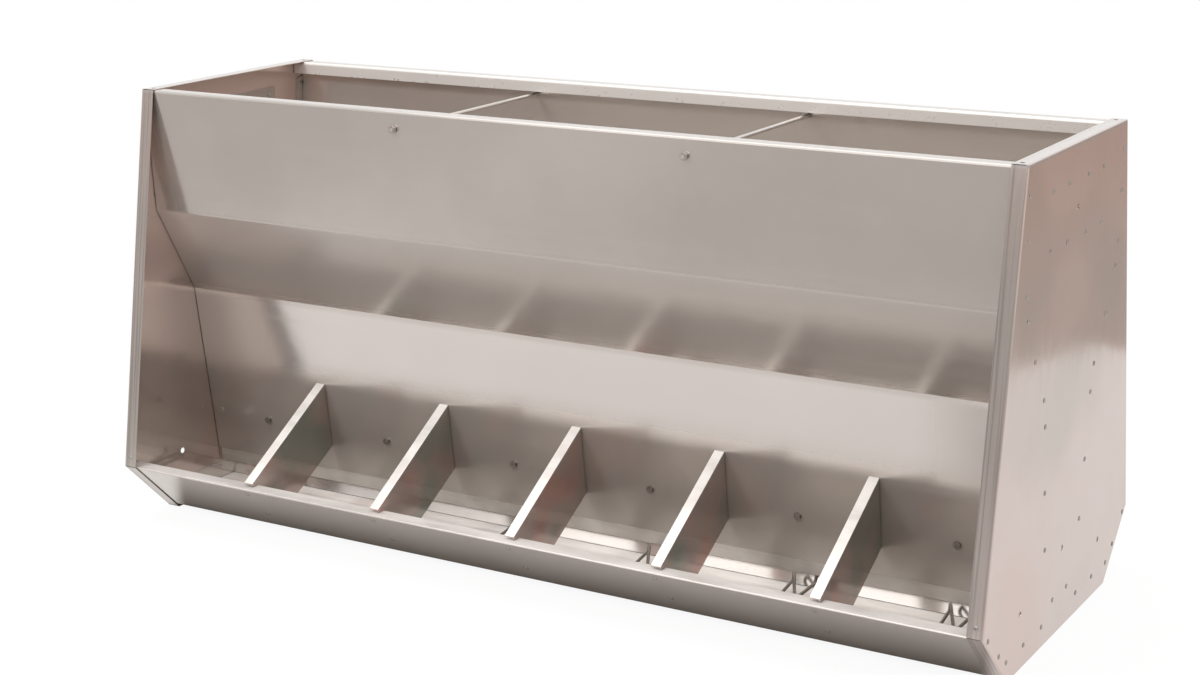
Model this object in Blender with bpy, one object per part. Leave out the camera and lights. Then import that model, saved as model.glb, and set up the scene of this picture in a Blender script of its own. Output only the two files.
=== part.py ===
"""Double-sided wet-dry feeder in folded stainless sheet: a hopper over a trough, with six feeding spaces a side.

Metres, +Z up. X runs along the feeder, the photographed side faces -Y, and the origin is the middle of the footprint.
In the cross-sections, "out" is the distance from the middle plane, and side is -1 for the front and +1 for the back.
"""

import math

import bmesh
import bpy
from mathutils import Matrix, Quaternion, Vector

# Sheet, fits and facets
SHEET = 0.0015
FIT = 0.0003
BEND = 0.0012
BEND_STEPS = 3
SEAM = 0.0018
ROUND_SIDES = 16
HOLE_SIDES = 12
HEXAGON = 6
CIRCULAR_ARC = 0.5
SHARP_ANGLE = math.radians(35)

# Length and feeding spaces
SPACES = 6
SPACE_WIDTH = 0.3048

# End panels
END_TOP_HALF = 0.2535
END_TOP_HEIGHT = 0.869
LIP_HALF = 0.3755
LIP_HEIGHT = 0.119
BASE_HALF = 0.256
END_FLANGE = 0.029
END_BEND = 0.003
END_GAP = 0.001
DRAIN_HOLE = 0.012
DRAIN_OUT = 0.204
DRAIN_HEIGHT = 0.1035
CORNER_HOLE = 0.0085
CORNER_HOLE_INSET = 0.0165

# The outer heads of the two rivets through each end panel and the tongue of the trough's end flange
RIVET_HEAD = 0.0088
RIVET_TIP = 0.0034
RIVET_RISE = 0.0016
RIVET_SIDES = 8
RIVET_OUT = 0.0369
RIVET_HEIGHT = 0.0707
RIVET_MARGIN = 0.0131

# Hopper panels
HOPPER_TOP_SETBACK = 0.0027
HOPPER_TOP_FLANGE = 0.030
HOPPER_RETURN = 0.025
HOPPER_CREASE_OUT = 0.236
HOPPER_CREASE_HEIGHT = 0.622
HOPPER_WAIST_OUT = 0.138
HOPPER_WAIST_HEIGHT = 0.440
HOPPER_HEM_OUT = 0.0905
HOPPER_HEM_HEIGHT = 0.079
HOPPER_BEND = 0.004
TAB_WIDTH = 0.022
TAB_NOTCH = 0.008
TAB_TAPER = 0.006

# Trough
TROUGH_BASE_HEIGHT = 0.0095
TROUGH_LIP_FLANGE = 0.0355
TROUGH_FACE_FLANGE = 0.025
TROUGH_FLOOR_FLANGE = 0.0365
TROUGH_FLOOR_FLANGE_TAPER = 0.009
TROUGH_FLANGE_START = 0.010
TROUGH_TONGUE_FOOT = 0.012

# Dividers between the spaces
DIVIDER_FLANGE = 0.020
DIVIDER_LIP_OVERLAP = 0.018
DIVIDER_STEP = 0.0065
DIVIDER_TOP_BACK_HEIGHT = 0.2686
DIVIDER_HEEL_HEIGHT = 0.133
DIVIDER_TOE_HEIGHT = 0.030
DIVIDER_FOLD = 0.0013
DIVIDER_NOTCH = 0.001

# Feed gates, which slide on the inner faces of the hopper's lower panels
GATE_TOP_HEIGHT = 0.205
GATE_HEM_HEIGHT = 0.051
GATE_TRAVEL = 0.030
GATE_END_GAP = 0.003
GATE_SLOT_CLEARANCE = 0.0009
GATE_SLOT_STEPS = 8

# Gate bolts and nuts
BOLT_HEIGHT = 0.166
BOLT_SHANK = 0.00635
BOLT_HEAD_ACROSS = 0.0125
BOLT_HEAD_THICK = 0.0045
BOLT_TAIL = 0.0035
NUT_ACROSS = 0.0111
NUT_THICK = 0.0055
THREAD_FIT = 0.0003

# Cross rods through the hopper, this far below its top
ROD = 0.008
ROD_DROP = 0.036
ROD_SPACE = 1
ROD_NUT_ACROSS = 0.013
ROD_NUT_THICK = 0.0065
ROD_TAIL = 0.0015
ROD_NUT_SEAT = 0.0004

# Agitator shaft and collars
SHAFT = 0.010
SHAFT_HEIGHT = 0.155
SHAFT_RECESS = 0.001
SHAFT_HOLE_CLEARANCE = 0.001
COLLAR = 0.020
COLLAR_WIDTH = 0.010
COLLAR_SIDES = 20

# Agitator wires
WIRE = 0.0063
WIRE_SIDES = 8
EYE_CLEARANCE = 0.0004
EYE_PITCH = 0.0078
EYE_TURNS = 1
EYE_POINTS_PER_TURN = 14
TIP_LENGTH = 0.150
TIP_HEIGHT = 0.0245
TIP_SPREAD = 0.013
HAIRPIN_OUT = 0.070
HAIRPIN_HEIGHT = 0.0295
HAIRPIN_RISE = 0.014
HAIRPIN_SPREAD = 0.0213
NOSE_OUT = 0.130
NOSE_SPREAD = 0.01325
NOSE_WIDTH = 0.0085
SILL_OUT = 0.0748
SILL_HEIGHT = 0.030
SILL_SPREAD = 0.0229
RISER_OUT = 0.046
RISER_HEIGHT = 0.074
WIRE_BEND = 0.0062
WIRE_BEND_STEPS = 3
WIRE_BEND_SHARE = 0.45

# Feed splitter along the trough
SPLITTER_HALF = 0.050
SPLITTER_RISE = 0.108

# Lift plates, with their hole this far below the top
LIFT_PLATE_WIDTH = 0.300
LIFT_PLATE_HEIGHT = 0.130
LIFT_PLATE_THICK = 0.003
LIFT_HOLE = 0.012
LIFT_DROP = 0.112

# Places that follow from the sizes above
HALF_LENGTH = SPACES * SPACE_WIDTH / 2
WEB_INNER = HALF_LENGTH - SHEET
HOPPER_TOP_HALF = END_TOP_HALF - HOPPER_TOP_SETBACK
HOPPER_TOP_HEIGHT = END_TOP_HEIGHT - SHEET - FIT
PANEL_HALF = WEB_INNER - END_GAP
TAB_FACE = WEB_INNER - FIT
ROD_HEIGHT = END_TOP_HEIGHT - ROD_DROP
LIFT_HEIGHT = END_TOP_HEIGHT - LIFT_DROP
HOPPER_CREASE = (HOPPER_CREASE_OUT, HOPPER_CREASE_HEIGHT)
HOPPER_WAIST = (HOPPER_WAIST_OUT, HOPPER_WAIST_HEIGHT)
HOPPER_HEM = (HOPPER_HEM_OUT, HOPPER_HEM_HEIGHT)
END_OUTLINE = [
    (BASE_HALF, 0.0),
    (LIP_HALF, LIP_HEIGHT),
    (END_TOP_HALF, END_TOP_HEIGHT),
    (-END_TOP_HALF, END_TOP_HEIGHT),
    (-LIP_HALF, LIP_HEIGHT),
    (-BASE_HALF, 0.0),
]
HOPPER_OUTLINE = [
    (HOPPER_TOP_HALF - HOPPER_TOP_FLANGE, HOPPER_TOP_HEIGHT - HOPPER_RETURN),
    (HOPPER_TOP_HALF - HOPPER_TOP_FLANGE, HOPPER_TOP_HEIGHT),
    (HOPPER_TOP_HALF, HOPPER_TOP_HEIGHT),
    HOPPER_CREASE,
    HOPPER_WAIST,
    HOPPER_HEM,
]
SIDES = {"front": -1, "back": 1}
ENDS = {"left": -1, "right": 1}


def clear_scene():
    for obj in list(bpy.data.objects):
        bpy.data.objects.remove(obj)


def material(name, colour, roughness, metallic):
    made = bpy.data.materials.new(name)
    made.use_nodes = True
    shader = made.node_tree.nodes["Principled BSDF"]
    shader.inputs["Base Color"].default_value = (*colour, 1.0)
    shader.inputs["Roughness"].default_value = roughness
    shader.inputs["Metallic"].default_value = metallic
    return made


def add_object(name, mesh, finish=None):
    obj = bpy.data.objects.new(name, mesh)
    bpy.context.scene.collection.objects.link(obj)
    if finish:
        mesh.materials.clear()
        mesh.materials.append(finish)
    return obj


def mesh_from(bm, name):
    bmesh.ops.recalc_face_normals(bm, faces=bm.faces)
    mesh = bpy.data.meshes.new(name)
    bm.to_mesh(mesh)
    bm.free()
    return mesh


def prism(name, outline, start, end):
    """A closed outline of (y, z) points, extruded along X."""
    bm = bmesh.new()
    face = bm.faces.new([bm.verts.new((start, y, z)) for y, z in outline])
    swept = bmesh.ops.extrude_face_region(bm, geom=[face])
    moved = [part for part in swept["geom"] if isinstance(part, bmesh.types.BMVert)]
    bmesh.ops.translate(bm, vec=(end - start, 0, 0), verts=moved)
    return mesh_from(bm, name)


def rod_mesh(name, start, end, diameter, sides=ROUND_SIDES, tip=None):
    """A bar between two points, round or hexagonal, or tapered to a tip; a hexagon is measured across its flats."""
    start, end = Vector(start), Vector(end)
    radius = diameter / 2 / math.cos(math.pi / sides) if sides == HEXAGON else diameter / 2
    last = tip / 2 if tip else radius
    bm = bmesh.new()
    bmesh.ops.create_cone(
        bm, cap_ends=True, segments=sides, radius1=radius, radius2=last, depth=(end - start).length
    )
    turn = (end - start).to_track_quat("Z", "Y").to_matrix().to_4x4()
    bmesh.ops.transform(bm, matrix=Matrix.Translation((start + end) / 2) @ turn, verts=bm.verts)
    return mesh_from(bm, name)


def baked(name, base, joined=(), cuts=()):
    """The base mesh with others joined to it and then cut from it, as one plain mesh."""
    body = add_object(name, base)
    helpers = []
    for operation, meshes in (("UNION", joined), ("DIFFERENCE", cuts)):
        for mesh in meshes:
            helper = add_object(name + "_helper", mesh)
            helper.hide_render = True
            helper.display_type = "WIRE"
            boolean = body.modifiers.new(operation.title(), "BOOLEAN")
            boolean.operation = operation
            boolean.object = helper
            helpers.append(helper)
    graph = bpy.context.evaluated_depsgraph_get()
    mesh = bpy.data.meshes.new_from_object(body.evaluated_get(graph))
    for obj in [body, *helpers]:
        bpy.data.objects.remove(obj)
    return mesh


def rounded(mesh):
    """Smooth shading, with every real corner kept sharp."""
    mesh.shade_smooth()
    mesh.set_sharp_from_angle(angle=SHARP_ANGLE)
    return mesh


def line_offset(points, distance, closed=False):
    """The route moved to its right by distance, with mitred corners."""
    points = [Vector(p) for p in points]
    count = len(points)
    runs = [(points[(i + 1) % count] - points[i]).normalized() for i in range(count)]
    if not closed:
        runs[-1] = runs[-2]
    moved = []
    for i, point in enumerate(points):
        before = runs[i - 1] if closed or i > 0 else runs[0]
        after = runs[i]
        first, second = (Vector((run.y, -run.x)) for run in (before, after))
        share = distance / (1 + first.dot(second))
        moved.append(point + (first + second) * share)
    return moved


def bent_route(points, radius, steps):
    """(point, right-hand normal) along the route, with each corner turned into an arc."""
    points = [Vector(p) for p in points]
    route = []
    first_run = (points[1] - points[0]).normalized()
    route.append((points[0], Vector((first_run.y, -first_run.x))))
    for before, corner, after in zip(points, points[1:], points[2:]):
        arriving, leaving = (corner - before).normalized(), (after - corner).normalized()
        turn = arriving.angle_signed(leaving)
        reach = radius * math.tan(abs(turn) / 2)
        start = corner - arriving * reach
        normal = Vector((arriving.y, -arriving.x))
        centre = start + normal * radius * (1 if turn > 0 else -1)
        for step in range(steps + 1):
            spin = Matrix.Rotation(-turn * step / steps, 2)
            route.append((centre + spin @ (start - centre), spin @ normal))
    last_run = (points[-1] - points[-2]).normalized()
    route.append((points[-1], Vector((last_run.y, -last_run.x))))
    return route


def sheet_outline(face_line, radius=BEND, steps=BEND_STEPS):
    """The closed outline of a folded sheet whose outer face follows face_line, with the metal on its right."""
    middle = line_offset(face_line, SHEET / 2)
    route = bent_route(middle, radius, steps)
    outer = [point - normal * SHEET / 2 for point, normal in route]
    inner = [point + normal * SHEET / 2 for point, normal in route]
    return outer + inner[::-1]


def on_side(points, side):
    """Points given as (out, height) put on the front or the back."""
    return [(side * out, height) for out, height in points]


def between(low, high, height):
    """The point at that height on the line from low to high, both given as (out, height)."""
    share = (height - low[1]) / (high[1] - low[1])
    return (low[0] + (high[0] - low[0]) * share, height)


def inset_line(start, end, distance):
    """The line from start to end moved sideways, to its right."""
    return [tuple(point) for point in line_offset([start, end], distance)]


def crossing(first, second):
    """Where two lines meet, each given by two points."""
    start, run = Vector(first[0]), Vector(first[1]) - Vector(first[0])
    across = Vector((second[0][1] - second[1][1], second[1][0] - second[0][0]))
    share = across.dot(Vector(second[0]) - start) / across.dot(run)
    return tuple(start + run * share)


def trough_corner(height, depth):
    """The point at that height on the trough's sloped face, this far inside the end panels' outline."""
    low, high = inset_line(END_OUTLINE[0], END_OUTLINE[1], -depth)
    return between(low, high, height)


def lower_panel_directions():
    """Unit vectors up along the hopper's lower panel and straight out of its outer face."""
    along = (Vector(HOPPER_WAIST) - Vector(HOPPER_HEM)).normalized()
    return along, Vector((along.y, -along.x))


def lower_panel_point(height, depth):
    """(out, height) on the lower panel, at this depth straight behind the outer face's point of that height."""
    _, out_of = lower_panel_directions()
    return Vector(between(HOPPER_HEM, HOPPER_WAIST, height)) - out_of * depth


def space_centre(number):
    return (number - (SPACES + 1) / 2) * SPACE_WIDTH


def divider_place(number):
    return (number - SPACES / 2) * SPACE_WIDTH


def end_panel(name, end, finish):
    """A pan with its flanges turned inwards, open at the mitred corners."""
    profile = []
    for step in range(BEND_STEPS + 1):
        angle = math.pi / 2 * step / BEND_STEPS
        profile.append((END_BEND * (1 - math.sin(angle)), END_BEND * (1 - math.cos(angle))))
    profile += [(0.0, END_FLANGE), (SHEET, END_FLANGE)]
    inner_bend = END_BEND - SHEET
    for step in range(BEND_STEPS + 1):
        angle = math.pi / 2 * (1 - step / BEND_STEPS)
        profile.append((END_BEND - inner_bend * math.sin(angle), END_BEND - inner_bend * math.cos(angle)))
    bm = bmesh.new()
    rings = []
    for inset, depth in profile:
        ring = line_offset(END_OUTLINE, -inset, closed=True)
        rings.append([bm.verts.new((end * (HALF_LENGTH - depth), y, z)) for y, z in ring])
    for ring, following in zip(rings, rings[1:]):
        for i in range(len(ring)):
            j = (i + 1) % len(ring)
            bm.faces.new((ring[i], ring[j], following[j], following[i]))
    bm.faces.new(rings[0])
    bm.faces.new(rings[-1])
    cuts = [corner_seam(point, end) for point in END_OUTLINE]
    web = (end * (HALF_LENGTH - END_FLANGE), end * (HALF_LENGTH + END_FLANGE))
    for side in SIDES.values():
        drain = (side * DRAIN_OUT, DRAIN_HEIGHT)
        cuts.append(rod_mesh("cut", (web[0], *drain), (web[1], *drain), DRAIN_HOLE))
        place = (end * (HALF_LENGTH - CORNER_HOLE_INSET), side * (END_TOP_HALF - CORNER_HOLE_INSET))
        top = (END_TOP_HEIGHT - END_BEND, END_TOP_HEIGHT + END_BEND)
        cuts.append(rod_mesh("cut", (*place, top[0]), (*place, top[1]), CORNER_HOLE, HOLE_SIDES))
    for height, diameter in ((SHAFT_HEIGHT, SHAFT + SHAFT_HOLE_CLEARANCE), (LIFT_HEIGHT, LIFT_HOLE)):
        cuts.append(rod_mesh("cut", (web[0], 0, height), (web[1], 0, height), diameter))
    heads = [rivet_head(end, side) for side in SIDES.values()]
    return add_object(name, rounded(baked(name, mesh_from(bm, name), heads, cuts)), finish)


def rivet_head(end, side):
    """The head outside an end panel of a rivet through the tongue of the trough's end flange."""
    place = (side * RIVET_OUT, RIVET_HEIGHT)
    base, top = HALF_LENGTH - SHEET / 2, HALF_LENGTH + RIVET_RISE
    return rod_mesh("head", (end * base, *place), (end * top, *place), RIVET_HEAD, RIVET_SIDES, RIVET_TIP)


def corner_seam(corner, end):
    """The narrow gap between two flanges at a corner of the outline, cut along the mitre."""
    i = END_OUTLINE.index(corner)
    ring = line_offset(END_OUTLINE, -END_FLANGE, closed=True)
    inward = (ring[i] - Vector(corner)).normalized() * END_BEND * 2
    across = Vector((inward.y, -inward.x)).normalized() * SEAM / 2
    outer, inner = Vector(corner) - inward, Vector(corner) + inward
    box = [outer - across, outer + across, inner + across, inner - across]
    depth = (HALF_LENGTH - END_BEND - SEAM, HALF_LENGTH - END_FLANGE - SEAM)
    return prism("cut", box, end * depth[0], end * depth[1])


def end_tab(outer_start, outer_end, trims, free_trims, width, end):
    """A flange turned in from a sheet's end, flat against the end panel.

    The trims shorten it at its two ends, along the fold and along its free edge.
    """
    start, finish = Vector(outer_start), Vector(outer_end)
    along = (finish - start).normalized()
    inward = Vector((along.y, -along.x))
    corners = [
        start + along * trims[0] + inward * SHEET / 2,
        finish - along * trims[1] + inward * SHEET / 2,
        finish - along * free_trims[1] + inward * width,
        start + along * free_trims[0] + inward * width,
    ]
    return prism("tab", corners, end * (TAB_FACE - SHEET), end * TAB_FACE)


def mirrored_across(mesh):
    """The mesh turned to the other side of the middle plane."""
    copy = mesh.copy()
    copy.transform(Matrix.Scale(-1, 4, (0, 1, 0)))
    copy.flip_normals()
    return copy


def hopper_panel_mesh():
    """The back panel: top flange with its return, wall, slope and lower panel, with tabs at both ends."""
    wall = prism("hopper_panel", sheet_outline(HOPPER_OUTLINE, HOPPER_BEND), -PANEL_HALF, PANEL_HALF)
    tabs = []
    for end in ENDS.values():
        for start, finish in zip(HOPPER_OUTLINE[2:], HOPPER_OUTLINE[3:]):
            first_trim = TAB_NOTCH + (HOPPER_RETURN if start == HOPPER_OUTLINE[2] else 0)
            last_trim = 0.0 if finish == HOPPER_HEM else TAB_NOTCH
            free = (first_trim + TAB_TAPER, last_trim + TAB_TAPER)
            tabs.append(end_tab(start, finish, (first_trim, last_trim), free, TAB_WIDTH, end))
    cuts = []
    _, out_of = lower_panel_directions()
    for number in range(1, SPACES + 1):
        place = lower_panel_point(BOLT_HEIGHT, 0)
        near, far = place + out_of * SHEET * 3, place - out_of * SHEET * 3
        x = space_centre(number)
        cuts.append(rod_mesh("cut", (x, *near), (x, *far), BOLT_SHANK + GATE_SLOT_CLEARANCE))
    for x in rod_places():
        near, far = HOPPER_TOP_HALF + ROD, HOPPER_CREASE[0] - ROD
        cuts.append(rod_mesh("cut", (x, near, ROD_HEIGHT), (x, far, ROD_HEIGHT), ROD + THREAD_FIT * 2))
    return rounded(baked("hopper_panel", wall, tabs, cuts))


def trough_pan_mesh():
    """The trough: lips, sloped faces and floor in one sheet, with flanges turned in at both ends."""
    lip = trough_corner(LIP_HEIGHT, SHEET + FIT)
    foot = trough_corner(TROUGH_BASE_HEIGHT, SHEET + FIT)
    half = [(lip[0] - TROUGH_LIP_FLANGE, LIP_HEIGHT), lip, foot]
    line = half + on_side(half, -1)[::-1]
    pan = prism("trough_pan", sheet_outline(line), -PANEL_HALF, PANEL_HALF)
    flanges = []
    fall = Vector(lip) - Vector(foot)
    drop, rise = fall.y / fall.length, fall.x / fall.length
    under_lip = (SHEET + FIT + TROUGH_FACE_FLANGE * rise) / drop
    for end in ENDS.values():
        free = (under_lip, 0.0)
        flange = end_tab(lip, foot, (TROUGH_FLANGE_START, 0.0), free, TROUGH_FACE_FLANGE, end)
        flanges += [flange, mirrored_across(flange)]
        low, high = TROUGH_BASE_HEIGHT + SHEET / 2, TROUGH_BASE_HEIGHT + TROUGH_FLOOR_FLANGE
        shoulder = foot[0] - TROUGH_FLOOR_FLANGE_TAPER
        tongue = (RIVET_OUT + RIVET_MARGIN, RIVET_HEIGHT + RIVET_MARGIN)
        right = [(foot[0], low), (shoulder, high), (tongue[0] + TROUGH_TONGUE_FOOT, high), tongue]
        corners = right + on_side(right, -1)[::-1]
        flanges.append(prism("flange", corners, end * (TAB_FACE - SHEET), end * TAB_FACE))
    return rounded(baked("trough_pan", pan, flanges))


def divider_mesh():
    """A back divider at X = 0: a plate with its top and front edges folded over, notched round the trough's lip."""
    lip = trough_corner(LIP_HEIGHT, SHEET + FIT)
    lip_inner = lip[0] - TROUGH_LIP_FLANGE - DIVIDER_NOTCH
    under_lip = LIP_HEIGHT - SHEET - FIT - DIVIDER_NOTCH
    over_lip = LIP_HEIGHT + FIT
    face_depth = 2 * (SHEET + FIT)
    toe = trough_corner(DIVIDER_TOE_HEIGHT, face_depth)
    brow = trough_corner(under_lip, face_depth)
    notch = (lip_inner, under_lip)
    step = (lip_inner + DIVIDER_LIP_OVERLAP, over_lip)
    top_front = (step[0], over_lip + DIVIDER_STEP)
    low, high = inset_line(HOPPER_HEM, HOPPER_WAIST, FIT)
    top_back = between(low, high, DIVIDER_TOP_BACK_HEIGHT)
    heel = between(low, high, DIVIDER_HEEL_HEIGHT)
    under_top = line_offset([top_front, top_back], -SHEET)
    behind_face = line_offset([toe, brow], -SHEET)
    top_strip = [top_front, top_back, crossing(under_top, (top_back, heel)), crossing(under_top, (step, top_front))]
    face_strip = [crossing(behind_face, (heel, toe)), toe, brow, crossing(behind_face, (brow, notch))]
    outline = top_strip[:3] + [heel] + face_strip + [notch, (lip_inner, over_lip), step, top_strip[3]]
    rest = [point for point in outline if point not in (top_front, top_back, toe, brow)]
    half = DIVIDER_FLANGE / 2
    bm = bmesh.new()
    outer = {point: bm.verts.new((half, *point)) for point in outline}
    inner = {point: bm.verts.new((half - SHEET, *point)) for point in outline}
    bm.faces.new([outer[point] for point in outline])
    bm.faces.new([inner[point] for point in rest])
    for point, following in zip(outline, outline[1:] + outline[:1]):
        bm.faces.new((outer[point], outer[following], inner[following], inner[point]))
    strips = [bm.faces.new([inner[point] for point in strip]) for strip in (top_strip, face_strip)]
    bmesh.ops.recalc_face_normals(bm, faces=bm.faces)
    swept = bmesh.ops.extrude_face_region(bm, geom=strips)
    bmesh.ops.delete(bm, geom=strips, context="FACES_ONLY")
    moved = [part for part in swept["geom"] if isinstance(part, bmesh.types.BMVert)]
    bmesh.ops.translate(bm, vec=(SHEET - DIVIDER_FLANGE, 0, 0), verts=moved)
    folds = [bm.edges.get((outer[start], outer[end])) for start, end in ((top_front, top_back), (toe, brow))]
    bmesh.ops.bevel(
        bm, geom=folds, offset=DIVIDER_FOLD, segments=BEND_STEPS, profile=CIRCULAR_ARC, affect="EDGES"
    )
    return rounded(mesh_from(bm, "divider"))


def gate_mesh():
    """The back gate: a plain plate with one upright slot for each bolt."""
    depth = SHEET + FIT
    top, hem = (lower_panel_point(height, depth) for height in (GATE_TOP_HEIGHT, GATE_HEM_HEIGHT))
    up, out_of = lower_panel_directions()
    outline = [top, hem, hem - out_of * SHEET, top - out_of * SHEET]
    half = TAB_FACE - SHEET - GATE_END_GAP
    plate = prism("feed_gate", outline, -half, half)
    cuts = [slot_cutter(space_centre(number), up, out_of) for number in range(1, SPACES + 1)]
    mesh = baked("feed_gate", plate, cuts=cuts)
    return rounded(mesh)


def slot_cutter(x, up, out_of):
    """A round-ended slot that lets the gate rise by its travel past the bolt."""
    radius = (BOLT_SHANK + GATE_SLOT_CLEARANCE) / 2
    bolt = lower_panel_point(BOLT_HEIGHT, 0)
    bm = bmesh.new()
    ring = []
    for centre, start in ((bolt, 0.0), (bolt - up * GATE_TRAVEL, math.pi)):
        for step in range(GATE_SLOT_STEPS + 1):
            angle = start + math.pi * step / GATE_SLOT_STEPS
            along = centre + up * radius * math.sin(angle)
            ring.append((x + radius * math.cos(angle), *(along + out_of * SHEET)))
    face = bm.faces.new([bm.verts.new(point) for point in ring])
    swept = bmesh.ops.extrude_face_region(bm, geom=[face])
    moved = [part for part in swept["geom"] if isinstance(part, bmesh.types.BMVert)]
    bmesh.ops.translate(bm, vec=(0, *(-out_of * SHEET * 6)), verts=moved)
    return mesh_from(bm, "cut")


def fixing_mesh(name, shapes, bore=0.0):
    """Bars in line on the X axis, joined into one solid; a bore goes right through."""
    bars = [rod_mesh(name, (start, 0, 0), (end, 0, 0), size, sides) for start, end, size, sides in shapes]
    low, high = min(s[0] for s in shapes), max(s[1] for s in shapes)
    reach = high - low
    cuts = [rod_mesh("cut", (low - reach, 0, 0), (high + reach, 0, 0), bore)] if bore else []
    return rounded(baked(name, bars[0], bars[1:], cuts))


def place(name, mesh, finish, spot, direction):
    """The mesh with its +X along direction."""
    obj = add_object(name, mesh, finish)
    obj.location = spot
    obj.rotation_euler = Vector(direction).to_track_quat("X", "Z").to_euler()
    return obj


def rod_places():
    reach = SPACE_WIDTH * ROD_SPACE
    return (-reach, reach)


def rod_wall_out():
    """How far out the hopper wall's outer face is at the cross rods."""
    top = (HOPPER_TOP_HALF, HOPPER_TOP_HEIGHT)
    return between(HOPPER_CREASE, top, ROD_HEIGHT)[0]


def wire_route():
    """The back half of an agitator wire about its shaft, as (x, y, z) from the shaft's axis, tip first."""
    heights = (TIP_HEIGHT, HAIRPIN_HEIGHT, SILL_HEIGHT, RISER_HEIGHT)
    tip, hairpin, sill, riser = (height - SHAFT_HEIGHT for height in heights)
    return [
        Vector((TIP_SPREAD, TIP_LENGTH, tip)),
        Vector((HAIRPIN_SPREAD, HAIRPIN_OUT, hairpin)),
        Vector((HAIRPIN_SPREAD, HAIRPIN_OUT, hairpin + HAIRPIN_RISE)),
        Vector((NOSE_WIDTH / 2 - NOSE_SPREAD, NOSE_OUT, tip)),
        Vector((-NOSE_WIDTH / 2 - NOSE_SPREAD, NOSE_OUT, tip)),
        Vector((-SILL_SPREAD, SILL_OUT, sill)),
        Vector((-SILL_SPREAD, RISER_OUT, riser)),
    ]


def eye_points():
    """The coil round the shaft, from the back leg over the top to the front leg."""
    radius = (SHAFT + WIRE) / 2 + EYE_CLEARANCE
    riser = wire_route()[-1]
    length = math.hypot(riser.y, riser.z)
    touch = math.atan2(riser.z, riser.y) + math.acos(radius / length)
    sweep = 2 * math.pi * EYE_TURNS + math.pi - 2 * touch
    steps = round(sweep / (2 * math.pi) * EYE_POINTS_PER_TURN)
    half = EYE_PITCH * sweep / (2 * math.pi) / 2
    points = []
    for step in range(steps + 1):
        share = step / steps
        angle = touch + sweep * share
        x = -half + 2 * half * share
        points.append(Vector((x, radius * math.cos(angle), radius * math.sin(angle))))
    return points


def smooth_corners(points, radius, steps):
    """The route with each inner corner turned into an arc that its runs can hold."""
    route = [points[0]]
    for before, corner, after in zip(points, points[1:], points[2:]):
        arriving, leaving = (corner - before).normalized(), (after - corner).normalized()
        turn = arriving.angle(leaving)
        longest = min((corner - before).length, (after - corner).length) * WIRE_BEND_SHARE
        reach = min(radius * math.tan(turn / 2), longest)
        centre = corner + (leaving - arriving).normalized() * (reach / math.tan(turn / 2)) / math.cos(turn / 2)
        start = corner - arriving * reach - centre
        axis = arriving.cross(leaving).normalized()
        for step in range(steps + 1):
            route.append(centre + Quaternion(axis, turn * step / steps) @ start)
    route.append(points[-1])
    return route


def agitator_curve(name, finish):
    """One bent wire, turned once round the shaft, with the same open hairpin on both sides."""
    back = wire_route()
    legs = smooth_corners([*back, eye_points()[0]], WIRE_BEND, WIRE_BEND_STEPS)
    half_turn = Matrix.Rotation(math.pi, 3, "Z")
    front = [half_turn @ point for point in legs][::-1]
    route = legs[:-1] + eye_points() + front[1:]
    curve = bpy.data.curves.new(name, "CURVE")
    curve.dimensions = "3D"
    spline = curve.splines.new("POLY")
    spline.points.add(len(route) - 1)
    for spot, point in zip(spline.points, route):
        spot.co = (*point, 1.0)
    curve.bevel_depth = WIRE / 2
    curve.bevel_resolution = (WIRE_SIDES - 4) // 2
    curve.use_fill_caps = True
    curve.materials.append(finish)
    return curve


def splitter_line():
    """The splitter's outer faces in cross-section, from the back foot over the ridge to the front foot."""
    heel = SHEET * SPLITTER_HALF / math.hypot(SPLITTER_HALF, SPLITTER_RISE)
    base = TROUGH_BASE_HEIGHT + SHEET + FIT + heel
    return [(-SPLITTER_HALF, base), (0.0, base + SPLITTER_RISE), (SPLITTER_HALF, base)]


def splitter_mesh():
    """The ridge along the trough floor that turns the feed out to both sides."""
    reach = TAB_FACE - SHEET - FIT
    return rounded(prism("feed_splitter", sheet_outline(splitter_line()), -reach, reach))


def lift_plate_mesh(end):
    """A doubler behind the lift hole of an end panel."""
    outer = TAB_FACE
    half = LIFT_PLATE_WIDTH / 2
    low, high = LIFT_HEIGHT - LIFT_PLATE_HEIGHT / 2, LIFT_HEIGHT + LIFT_PLATE_HEIGHT / 2
    corners = [(-half, low), (half, low), (half, high), (-half, high)]
    plate = prism("lift_plate", corners, end * (outer - LIFT_PLATE_THICK), end * outer)
    reach = (end * (outer - END_FLANGE), end * (outer + END_FLANGE))
    hole = rod_mesh("cut", (reach[0], 0, LIFT_HEIGHT), (reach[1], 0, LIFT_HEIGHT), LIFT_HOLE)
    return rounded(baked("lift_plate", plate, cuts=[hole]))


def add_fixed_sheets(finishes):
    for word, end in ENDS.items():
        end_panel(f"end_panel_{word}", end, finishes["end"])
        add_object(f"lift_plate_{word}", lift_plate_mesh(end), finishes["lift"])
    hopper = hopper_panel_mesh()
    add_object("hopper_panel_back", hopper, finishes["hopper"])
    add_object("hopper_panel_front", mirrored_across(hopper), finishes["hopper"])
    add_object("trough_pan", trough_pan_mesh(), finishes["trough"])
    add_object("feed_splitter", splitter_mesh(), finishes["trough"])


def add_dividers(finishes):
    back = divider_mesh()
    front = mirrored_across(back)
    for word, mesh in (("front", front), ("back", back)):
        for number in range(1, SPACES):
            divider = add_object(f"divider_{word}_{number}", mesh, finishes["divider"])
            divider.location.x = divider_place(number)


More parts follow.
